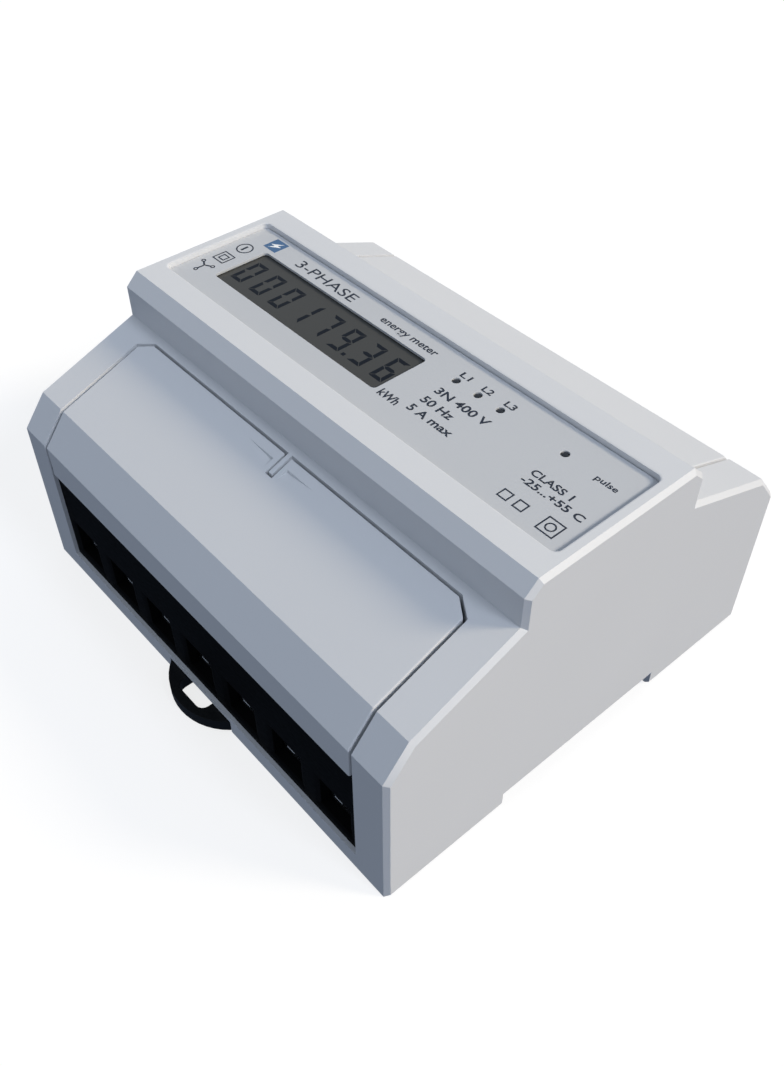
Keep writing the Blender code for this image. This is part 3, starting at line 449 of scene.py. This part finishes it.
class DisplaySettings(bpy.types.PropertyGroup):
    """The display."""

    reading: StringProperty(
        name="Reading", description="Digits on the display, with one point", default="000179.36",
    )
    ground_colour: FloatVectorProperty(
        name="Ground", description="Colour of the display behind its digits", subtype="COLOR", size=3,
        min=0, max=1, default=linear("464644"),
    )
    digit_colour: FloatVectorProperty(
        name="Digits", description="Colour of a digit's segments", subtype="COLOR", size=3, min=0, max=1,
        default=linear("151A22"),
    )
    digit_width: FloatProperty(
        name="Digit width", description="Width of one digit", subtype="DISTANCE", unit="LENGTH",
        default=3.7 * MM,
    )
    digit_height: FloatProperty(
        name="Digit height", description="Height of one digit", subtype="DISTANCE", unit="LENGTH",
        default=8.1 * MM,
    )
    digit_pitch: FloatProperty(
        name="Digit pitch", description="From one digit to the next", subtype="DISTANCE", unit="LENGTH",
        default=6.71 * MM,
    )
    segment_width: FloatProperty(
        name="Segment width", description="Width of one segment", subtype="DISTANCE", unit="LENGTH",
        default=0.95 * MM,
    )


class TerminalSettings(bpy.types.PropertyGroup):
    """The contact bars in the terminals."""

    bar_width: FloatProperty(
        name="Bar width", description="Width of a contact bar", subtype="DISTANCE", unit="LENGTH",
        default=6 * MM,
    )
    bar_thickness: FloatProperty(
        name="Bar thickness", description="Thickness of a contact bar", subtype="DISTANCE", unit="LENGTH",
        default=1 * MM,
    )
    groove_depth: FloatProperty(
        name="Groove depth", description="Depth of the grip grooves under a contact bar", subtype="DISTANCE",
        unit="LENGTH", precision=5, default=0.2 * MM,
    )


class StageSettings(bpy.types.PropertyGroup):
    """Floor, light and camera."""

    key_colour: FloatVectorProperty(
        name="Key light", description="Light of the warmer lamp, behind and to the right", subtype="COLOR",
        size=3, min=0, max=1, default=(0.65, 0.558, 0.412),
    )
    fill_colour: FloatVectorProperty(
        name="Fill light", description="Light of the cooler lamp, to the right", subtype="COLOR", size=3,
        min=0, max=1, default=(0.27, 0.294, 0.341),
    )
    softness: FloatProperty(
        name="Softness", description="Width of the lamps, as seen from the meter", subtype="ANGLE",
        unit="ROTATION", default=math.radians(13),
    )
    sky_colour: FloatVectorProperty(
        name="Sky", description="Light from above", subtype="COLOR", size=3, min=0, max=1,
        default=(0.359, 0.41, 0.486),
    )
    ground_colour: FloatVectorProperty(
        name="Ground light", description="Light from below", subtype="COLOR", size=3, min=0, max=1,
        default=(0.076, 0.099, 0.15),
    )
    lens: FloatProperty(
        name="Lens", description="Focal length of the camera", unit="CAMERA", default=36.88,
    )


SETTINGS = {
    "meter_casing": CasingSettings,
    "meter_label": LabelSettings,
    "meter_display": DisplaySettings,
    "meter_terminals": TerminalSettings,
    "meter_stage": StageSettings,
}


# ---------------------------------------------------------------- operators

def bay_edges(bm):
    """The edges of the casing round its two terminal bays, on the outer faces."""
    across, along = 0.9, 0.1
    chosen = []
    for edge in sharp_edges(bm):
        middle = (edge.verts[0].co + edge.verts[1].co) / 2
        on_side = abs(abs(middle.x) - BAY_HALF) < NEAR and SILL_TOP + NEAR < middle.z < BAY_TOP
        outside = abs(middle.y) > (BAY_INNER if middle.z > COVER_LIP else WALL - NEAR)
        normals = [abs(face.normal.x) for face in edge.link_faces]
        if on_side and outside and max(normals) > across and min(normals) < along:
            chosen.append(edge)
    return chosen


def sill_edges(bm):
    """The outer top edges of the casing's two sills, under the cable entries."""
    chosen = []
    for edge in sharp_edges(bm):
        ends = [vert.co for vert in edge.verts]
        on_wall = all(abs(abs(end.y) - WALL) < NEAR for end in ends)
        on_top = all(abs(end.z - SILL_TOP) < NEAR and abs(end.x) < BAY_HALF + NEAR for end in ends)
        if on_wall and on_top:
            chosen.append(edge)
    return chosen


class METER_OT_casing(bpy.types.Operator):
    """Casing, back plate and its screws"""

    bl_idname = "meter.casing"
    bl_label = "Casing"

    def execute(self, context):
        settings = context.scene.meter_casing
        grey = moulded_polycarbonate(settings)
        bm = merged_copy("main_casing")
        soften(bm, sill_edges(bm), settings.sill_radius, 4)
        soften(bm, bay_edges(bm), settings.bay_radius, 4)
        refine("main_casing", "casing", "meter", grey, settings.edge_radius, bm)
        refine("base_plate", "back_plate", "meter", grey, settings.edge_radius)
        for side in SIDES:
            cover = "cover_" + side
            refine("terminal_" + cover, cover, cover, grey, settings.cover_radius)
        screw = plated_steel("zinc_plated_screw", "B9BCC0", (1, 1, 4), 0.3, 0.4)
        for number in range(1, 5):
            finish_node("base_screw_" + str(number), screw)
        return {"FINISHED"}


class METER_OT_latch(bpy.types.Operator):
    """Rail latch and its spring"""

    bl_idname = "meter.latch"
    bl_label = "Latch"

    def execute(self, context):
        black = black_polyamide("polyamide_latch_black", "0B0C0E", 0.2, 0.4, 0.55)
        refine("rail_latch", "latch", "latch", black, 0.12 * MM)
        self.spring("latch_spring")
        return {"FINISHED"}

    def spring(self, node):
        """The coil between the back plate's post and the latch, standing where the imported part has it."""
        steel = plated_steel("spring_steel", "C9CBCC", (1, 1, 1), 0.25, 0.35)
        coil = add_piece("spring", merged_copy(node), steel)
        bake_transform(coil)
        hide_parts(node)


class METER_OT_terminals(bpy.types.Operator):
    """Terminal blocks, clamps and contact bars"""

    bl_idname = "meter.terminals"
    bl_label = "Terminals"

    def execute(self, context):
        settings = context.scene.meter_terminals
        black = black_polyamide("polyamide_terminal_black", "0A0A0A", 0.03, 0.5, 0.65)
        cage = plated_steel("nickelled_cage_strip", "DCDDDF", (4, 1, 1), 0.2, 0.28)
        screw = plated_steel("nickelled_turned_screw", "CDCECE", (1, 1, 6), 0.22, 0.32)
        bar = plated_steel("tinned_contact_bar", "D2CDBF", (1, 6, 1), 0.35, 0.45)
        for side, turn in zip(SIDES, (0, math.pi)):
            refine("terminal_block_" + side, "block_" + side, "meter", black, 0.08 * MM)
            for number in range(1, TERMINALS + 1):
                end = side + "_" + str(number)
                refine("clamp_cage_" + end, "cage_" + end, "cage_" + end, cage, 0.15 * MM)
                finish_node("clamp_screw_" + end, screw)
                x = (number - (TERMINALS + 1) / 2) * TERMINAL_PITCH
                piece = add_piece("contact_bar_" + end, self.contact_bar(settings, x, turn), bar, "meter")
        return {"FINISHED"}

    def contact_bar(self, settings, x, turn):
        """A flat bar with grip grooves across its underside and its outer end cut clear of the wire."""
        outer, inner, low = -50 * MM, -37 * MM, 16 * MM
        grooves, first, pitch, half_groove, bent = 6, -42.6 * MM, 1.1 * MM, 0.3 * MM, 0.4 * MM
        top = low + settings.bar_thickness
        deep = low + settings.groove_depth
        outline = [(outer, top), (inner, top), (inner, low)]
        for groove in range(grooves):
            y = first - groove * pitch
            outline += [(y, low), (y - half_groove, deep), (y - 2 * half_groove, low)]
        outline += [(outer + bent, low), (outer, low + bent)]
        bm = bmesh.new()
        half = settings.bar_width / 2
        corners = [bm.verts.new((x - half, y, z)) for y, z in outline]
        face = bm.faces.new(corners)
        grown = bmesh.ops.extrude_face_region(bm, geom=[face], use_keep_orig=True)["geom"]
        far = [item for item in grown if isinstance(item, bmesh.types.BMVert)]
        bmesh.ops.translate(bm, verts=far, vec=(settings.bar_width, 0, 0))
        bmesh.ops.recalc_face_normals(bm, faces=bm.faces)
        ends = [edge for edge in sharp_edges(bm, 60) if abs(edge.verts[0].co.y - inner) < MM]
        soften(bm, ends, 0.15 * MM)
        bmesh.ops.rotate(bm, verts=bm.verts, cent=(0, 0, 0), matrix=Matrix.Rotation(turn, 3, "Z"))
        return bm


# Segments of a digit, from the top one clockwise and the middle one last
SEGMENTS_LIT = {
    "0": "abcdef", "1": "bc", "2": "abged", "3": "abgcd", "4": "fgbc",
    "5": "afgcd", "6": "afgedc", "7": "abc", "8": "abcdefg", "9": "abcdfg",
}


class METER_OT_display(bpy.types.Operator):
    """Display window, its digits, the display glass and its holder"""

    bl_idname = "meter.display"
    bl_label = "Display"

    def execute(self, context):
        settings = context.scene.meter_display
        ground = polariser("polariser_film", settings.ground_colour, 0.3, 0.34, 0.42)
        lit = polariser("liquid_crystal_segment", settings.digit_colour, 0.15, 0.34, 0.42)
        finish_node("display_window", ground)
        finish_node("lcd_panel", polariser("display_glass", settings.ground_colour, 0.5, 0.1, 0.15))
        holder = plain_moulding("white_polyester_holder", "E6E6E0", 0.4 * MM, 0.4, 0.5, IOR=1.57)
        finish_node("lcd_holder", holder)
        piece = add_piece("display_digits", self.digits(settings), lit, "meter", smooth=False)
        return {"FINISHED"}

    def digits(self, settings):
        """The reading in seven-segment digits, centred in the window."""
        first, foot = -47.95 * MM, -4.0 * MM
        bm = bmesh.new()
        low, high = PANE_TOP - SUNK, PANE_TOP + 0.02 * MM
        place = 0
        for sign in settings.reading:
            left = first + place * settings.digit_pitch
            if sign == ".":
                x, side = left - 2.0 * MM, 0.9 * MM
                square = [(x, foot), (x + side, foot), (x + side, foot + side), (x, foot + side)]
                raised(bm, square, low, high)
                continue
            for segment in SEGMENTS_LIT[sign]:
                raised(bm, self.segment(settings, segment, left, foot), low, high)
            place += 1
        return bm

    def segment(self, settings, letter, left, foot):
        """The outline of one segment, mitred at 45 degrees where it meets the next."""
        thick, wide, tall = settings.segment_width, settings.digit_width, settings.digit_height
        gap, half = 0.12 * MM, tall / 2
        if letter == "g":
            tip = thick / 2
            outline = [
                (gap + tip * 0.5, half), (gap + thick, half - tip), (wide - gap - thick, half - tip),
                (wide - gap - tip * 0.5, half), (wide - gap - thick, half + tip), (gap + thick, half + tip),
            ]
        elif letter in "ad":
            outline = [(gap, 0), (wide - gap, 0), (wide - gap - thick, thick), (gap + thick, thick)]
        else:
            outline = [(0, gap), (thick, gap + thick), (thick, half - gap - thick / 2), (0, half - gap)]
        if letter in "bc":
            outline = [(wide - x, y) for x, y in outline]
        if letter in "abf":
            outline = [(x, tall - y) for x, y in outline]
        return [(left + x, foot + y) for x, y in outline]


class METER_OT_label(bpy.types.Operator):
    """Label plate with its prints"""

    bl_idname = "meter.label"
    bl_label = "Label"

    def execute(self, context):
        settings = context.scene.meter_label
        self.low = LABEL_TOP - SUNK
        self.high = LABEL_TOP + settings.print_height
        film = printed_film(settings)
        refine("front_label_plate", "label_plate", "meter", film, 0.05 * MM)
        dark = screen_ink("screen_ink_dark", settings.print_colour)
        blue = screen_ink("screen_ink_blue", settings.patch_colour)
        white = screen_ink("screen_ink_white", linear("F4F5F5"))
        for name, build, ink in (
            ("label_symbols", self.symbols, dark),
            ("label_titles", self.titles, dark),
            ("label_ratings", self.ratings, dark),
            ("label_marks", self.marks, dark),
            ("label_patch", self.patch, blue),
            ("label_bolt", self.bolt, white),
        ):
            bm = bmesh.new()
            build(bm)
            add_piece(name, bm, ink, "meter", smooth=False)
        return {"FINISHED"}

    def bar(self, bm, start, end, width):
        """A straight printed line from start to end."""
        start, end = Vector(start) * MM, Vector(end) * MM
        aside = (end - start).orthogonal().normalized() * width * MM / 2
        raised(bm, [start + aside, start - aside, end - aside, end + aside], self.low, self.high)

    def square(self, bm, x, y, half, width):
        """The printed outline of a square."""
        inside = half - width / 2
        for sign in (-1, 1):
            self.bar(bm, (x - half, y + sign * inside), (x + half, y + sign * inside), width)
            self.bar(bm, (x + sign * inside, y - half + width), (x + sign * inside, y + half - width), width)

    def words(self, bm, text, left, middle, width, height, **style):
        """Generic words, sized in millimetres."""
        sizes = (size * MM for size in (left, middle, width, height))
        lettering(bm, text, *sizes, self.low, self.high, **style)

    def symbols(self, bm):
        """Star connection, double square for double insulation, and a ringed figure."""
        centre = (-54.2, -6.4)
        for end in ((-54.2, -8.7), (-55.9, -5.4), (-52.4, -5.4)):
            ring(bm, (end[0] * MM, end[1] * MM), 0.55 * MM, 0.28 * MM, self.low, self.high, 20)
            away = (Vector(end) - Vector(centre)).normalized()
            self.bar(bm, centre, Vector(end) - away * 0.45, 0.38)
        for half in (1.9, 1.0):
            self.square(bm, -53.95, -1.3, half, 0.3)
        ring(bm, (-53.9 * MM, 4.4 * MM), 2.0 * MM, 0.32 * MM, self.low, self.high)
        self.words(bm, "1", -54.25, 4.4, 0.55, 2.0)

    def titles(self, bm):
        """What kind of meter it is and what it counts."""
        self.words(bm, "3-PHASE", -41.1, 10.0, 19.5, 2.8)
        self.words(bm, "energy meter", -12.6, 9.9, 16.8, 1.9, weight=0.015)
        self.words(bm, "kWh", 5.4, -6.3, 5.2, 2.1, weight=0.02)

    def ratings(self, bm):
        """Phase numbers, voltage, frequency, current, pulse lamp, class and range of temperature."""
        for number, x in enumerate((12.0, 18.0, 24.1), start=1):
            self.words(bm, "L" + str(number), x, 9.2, 2.6, 1.6, weight=0.02)
        self.words(bm, "3N 400 V", 12.4, 2.2, 14.0, 2.0, weight=0.02)
        self.words(bm, "50 Hz", 12.5, -1.6, 8.2, 2.0, weight=0.02)
        self.words(bm, "5 A max", 12.5, -5.1, 11.6, 2.0, weight=0.02)
        self.words(bm, "pulse", 49.3, 6.4, 5.0, 1.4, weight=0.015)
        self.words(bm, "CLASS 1", 40.8, -1.0, 9.6, 1.7, weight=0.02)
        self.words(bm, "-25...+55 C", 40.8, -3.6, 14.4, 1.7, weight=0.02)

    def marks(self, bm):
        """Two small squares and a framed ring, as plain ornament in the corner of the label."""
        for x, half in ((41.9, 1.2), (45.6, 1.2), (52.6, 2.0)):
            self.square(bm, x, -9.0, half, 0.3)
        ring(bm, (52.6 * MM, -9.0 * MM), 1.1 * MM, 0.3 * MM, self.low, self.high)

    def patch(self, bm):
        """A small plain square in the corner of the label."""
        left, right, foot, top = -52.2 * MM, -48.0 * MM, 8.3 * MM, 12.5 * MM
        raised(bm, [(left, foot), (right, foot), (right, top), (left, top)], self.low, self.high)

    def bolt(self, bm):
        """A white flash on the patch."""
        outline = [(-49.0, 11.9), (-51.6, 10.1), (-50.3, 10.1), (-51.2, 8.8), (-48.6, 10.6), (-49.9, 10.6)]
        raised(bm, [Vector(point) * MM for point in outline], self.low, self.high + 0.01 * MM)


class METER_OT_indicators(bpy.types.Operator):
    """Smoked light pipes that carry the indicators' light to the label"""

    bl_idname = "meter.indicators"
    bl_label = "Indicators"

    def execute(self, context):
        smoked = plain_moulding("smoked_acrylic_light_pipe", "23262B", 0.6 * MM, 0.2, 0.3, IOR=1.49)
        for name in ("phase_led_1", "phase_led_2", "phase_led_3", "pulse_led"):
            low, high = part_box(name)
            centre = (low + high) / 2
            pipe = self.light_pipe(centre, high.z + 0.2 * MM)
            piece = add_piece("light_pipe_" + name, pipe, smoked, "meter")
        return {"FINISHED"}

    def light_pipe(self, centre, foot):
        """A round pipe with a low dome on top, just under the face of the label."""
        radius, top, rise = 0.86 * MM, LABEL_TOP - 0.12 * MM, 0.25 * MM
        bm = bmesh.new()
        bmesh.ops.create_cone(
            bm, cap_ends=True, segments=32, radius1=radius, radius2=radius, depth=top - rise - foot,
            matrix=Matrix.Translation((centre.x, centre.y, (top - rise + foot) / 2)),
        )
        cap = max(bm.faces, key=lambda face: face.calc_center_median().z)
        for inset, lift in ((0.3, 0.6), (0.3, 0.3), (0.2, 0.1)):
            bmesh.ops.inset_region(bm, faces=[cap], thickness=radius * inset, use_even_offset=True)
            bmesh.ops.translate(bm, verts=cap.verts, vec=(0, 0, rise * lift))
        return bm


class METER_OT_inside(bpy.types.Operator):
    """Boards and what they carry"""

    bl_idname = "meter.inside"
    bl_label = "Boards"

    def execute(self, context):
        mask = solder_mask()
        for board in ("main_board", "display_board", "riser_board"):
            finish_node(board, mask)
        lens = plain_moulding("diffusing_epoxy_green", "1E2622", 0.5 * MM, 0.3, 0.45, IOR=1.54)
        for number in range(1, 4):
            finish_node("phase_led_" + str(number), lens)
        red_lens = plain_moulding("diffusing_epoxy_red", "2A1C1C", 0.5 * MM, 0.3, 0.45, IOR=1.54)
        finish_node("pulse_led", red_lens)
        tape = wound_tape()
        for number in range(1, 4):
            finish_node("current_transformer_" + str(number), tape)
        dipped = plain_moulding("dipped_film_capacitor", "C9962B", 0.8 * MM, 0.3, 0.4, IOR=1.5)
        finish_node("supply_capacitor", dipped)
        sleeve = plain_moulding("shrink_sleeve_blue", "1B2A55", 1 * MM, 0.25, 0.4, IOR=1.5)
        finish_node("electrolytic_capacitor", sleeve)
        compound = plain_moulding("epoxy_moulding_compound", "17181A", 0.2 * MM, 0.5, 0.65, IOR=1.55)
        for chip in ("metering_chip", "pulse_optocoupler"):
            finish_node(chip, compound)
        return {"FINISHED"}


class METER_OT_stage(bpy.types.Operator):
    """Floor, backdrop, lights and camera"""

    bl_idname = "meter.stage"
    bl_label = "Stage"

    def execute(self, context):
        settings = context.scene.meter_stage
        self.floor()
        self.lights(context, settings)
        self.camera(context, settings)
        context.scene.view_settings.view_transform = "Standard"
        return {"FINISHED"}

    def floor(self):
        """A pale floor that shows a soft shadow, and a pale dome behind it."""
        white = (1, 1, 1, 1)
        material, tree, shader = new_material(
            "pale_studio_floor", Roughness=0.9, Specular_IOR_Level=0.0, Emission_Color=white,
            Emission_Strength=0.79,
        )
        surface(tree, shader, blended(tree, noise(tree, 0.3), *shades(linear("8A8A8A"), 0.01)))
        bm = bmesh.new()
        bmesh.ops.create_circle(bm, cap_ends=True, segments=64, radius=3.0)
        bmesh.ops.translate(bm, verts=bm.verts, vec=(0, 0, CAD_BOX[0][2] - 0.1 * MM))
        floor = self.staged("floor", bm, material)
        glow = new_material(
            "pale_backdrop", Base_Color=(0, 0, 0, 1), Specular_IOR_Level=0.0, Emission_Color=white,
            Emission_Strength=0.99,
        )[0]
        bm = bmesh.new()
        bmesh.ops.create_uvsphere(bm, u_segments=48, v_segments=24, radius=2.9)
        bmesh.ops.reverse_faces(bm, faces=bm.faces)
        dome = self.staged("backdrop", bm, glow)
        for staged in (floor, dome):
            staged.visible_diffuse = False
            staged.visible_glossy = False
        dome.visible_shadow = False
        dome.visible_transmission = False

    def staged(self, name, bm, material):
        """Links one stage object."""
        mesh = bpy.data.meshes.new(name)
        bm.to_mesh(mesh)
        bm.free()
        mesh.materials.append(material)
        made = bpy.data.objects.new(name, mesh)
        bpy.context.scene.collection.objects.link(made)
        return made

    def lights(self, context, settings):
        """Two soft lamps on the right, and a pale sky over a darker ground."""
        lamps = {
            "key": (settings.key_colour, (0.647, 0.519, 0.559)),
            "fill": (settings.fill_colour, (0.734, 0.113, 0.67)),
        }
        for name, (colour, towards) in lamps.items():
            light = bpy.data.lights.new(name, "SUN")
            light.color = colour
            light.energy = math.pi
            light.angle = settings.softness
            lamp = bpy.data.objects.new(name, light)
            lamp.location = towards
            lamp.rotation_euler = Vector(towards).to_track_quat("Z", "Y").to_euler()
            context.scene.collection.objects.link(lamp)
        world = bpy.data.worlds.new("sky")
        world.use_nodes = True
        tree = world.node_tree
        place = add_node(tree, "TexCoord").outputs["Generated"]
        height = add_node(tree, "SeparateXYZ", {"Vector": place}).outputs["Z"]
        rise = add_node(tree, "MapRange", {"Value": height, "From Min": -0.1, "From Max": 0.1}).outputs[0]
        glow = blended(tree, rise, settings.ground_colour, settings.sky_colour)
        tree.links.new(glow, tree.nodes["Background"].inputs["Color"])
        context.scene.world = world

    def camera(self, context, settings):
        """The camera, above the terminal side and to the right."""
        lens = bpy.data.cameras.new("camera")
        lens.lens = settings.lens
        lens.sensor_width = 36
        camera = bpy.data.objects.new("camera", lens)
        camera.location = (0.13294, -0.11481, 0.19397)
        camera.rotation_euler = Euler((math.radians(44.62), 0, math.radians(48.8335)))
        context.scene.collection.objects.link(camera)
        context.scene.camera = camera


OPERATORS = (
    METER_OT_casing,
    METER_OT_latch,
    METER_OT_terminals,
    METER_OT_display,
    METER_OT_label,
    METER_OT_indicators,
    METER_OT_inside,
    METER_OT_stage,
)


class METER_PT_panel(bpy.types.Panel):
    """Lists what can be built"""

    bl_idname = "METER_PT_panel"
    bl_label = "Electric meter"
    bl_space_type = "VIEW_3D"
    bl_region_type = "UI"
    bl_category = "Meter"

    def draw(self, context):
        for name, group in SETTINGS.items():
            box = self.layout.box()
            for setting in group.__annotations__:
                box.prop(getattr(context.scene, name), setting)
        for operator in OPERATORS:
            self.layout.operator(operator.bl_idname)


def register():
    for name, group in SETTINGS.items():
        bpy.utils.register_class(group)
        setattr(bpy.types.Scene, name, PointerProperty(type=group))
    for made in (*OPERATORS, METER_PT_panel):
        bpy.utils.register_class(made)


def unregister():
    for made in reversed((*OPERATORS, METER_PT_panel)):
        bpy.utils.unregister_class(made)
    for name, group in reversed(SETTINGS.items()):
        delattr(bpy.types.Scene, name)
        bpy.utils.unregister_class(group)


def main():
    register()
    bpy.ops.meter.casing()
    bpy.ops.meter.latch()
    bpy.ops.meter.terminals()
    bpy.ops.meter.display()
    bpy.ops.meter.label()
    bpy.ops.meter.indicators()
    bpy.ops.meter.inside()
    bpy.ops.meter.stage()


if __name__ == "__main__":
    main()
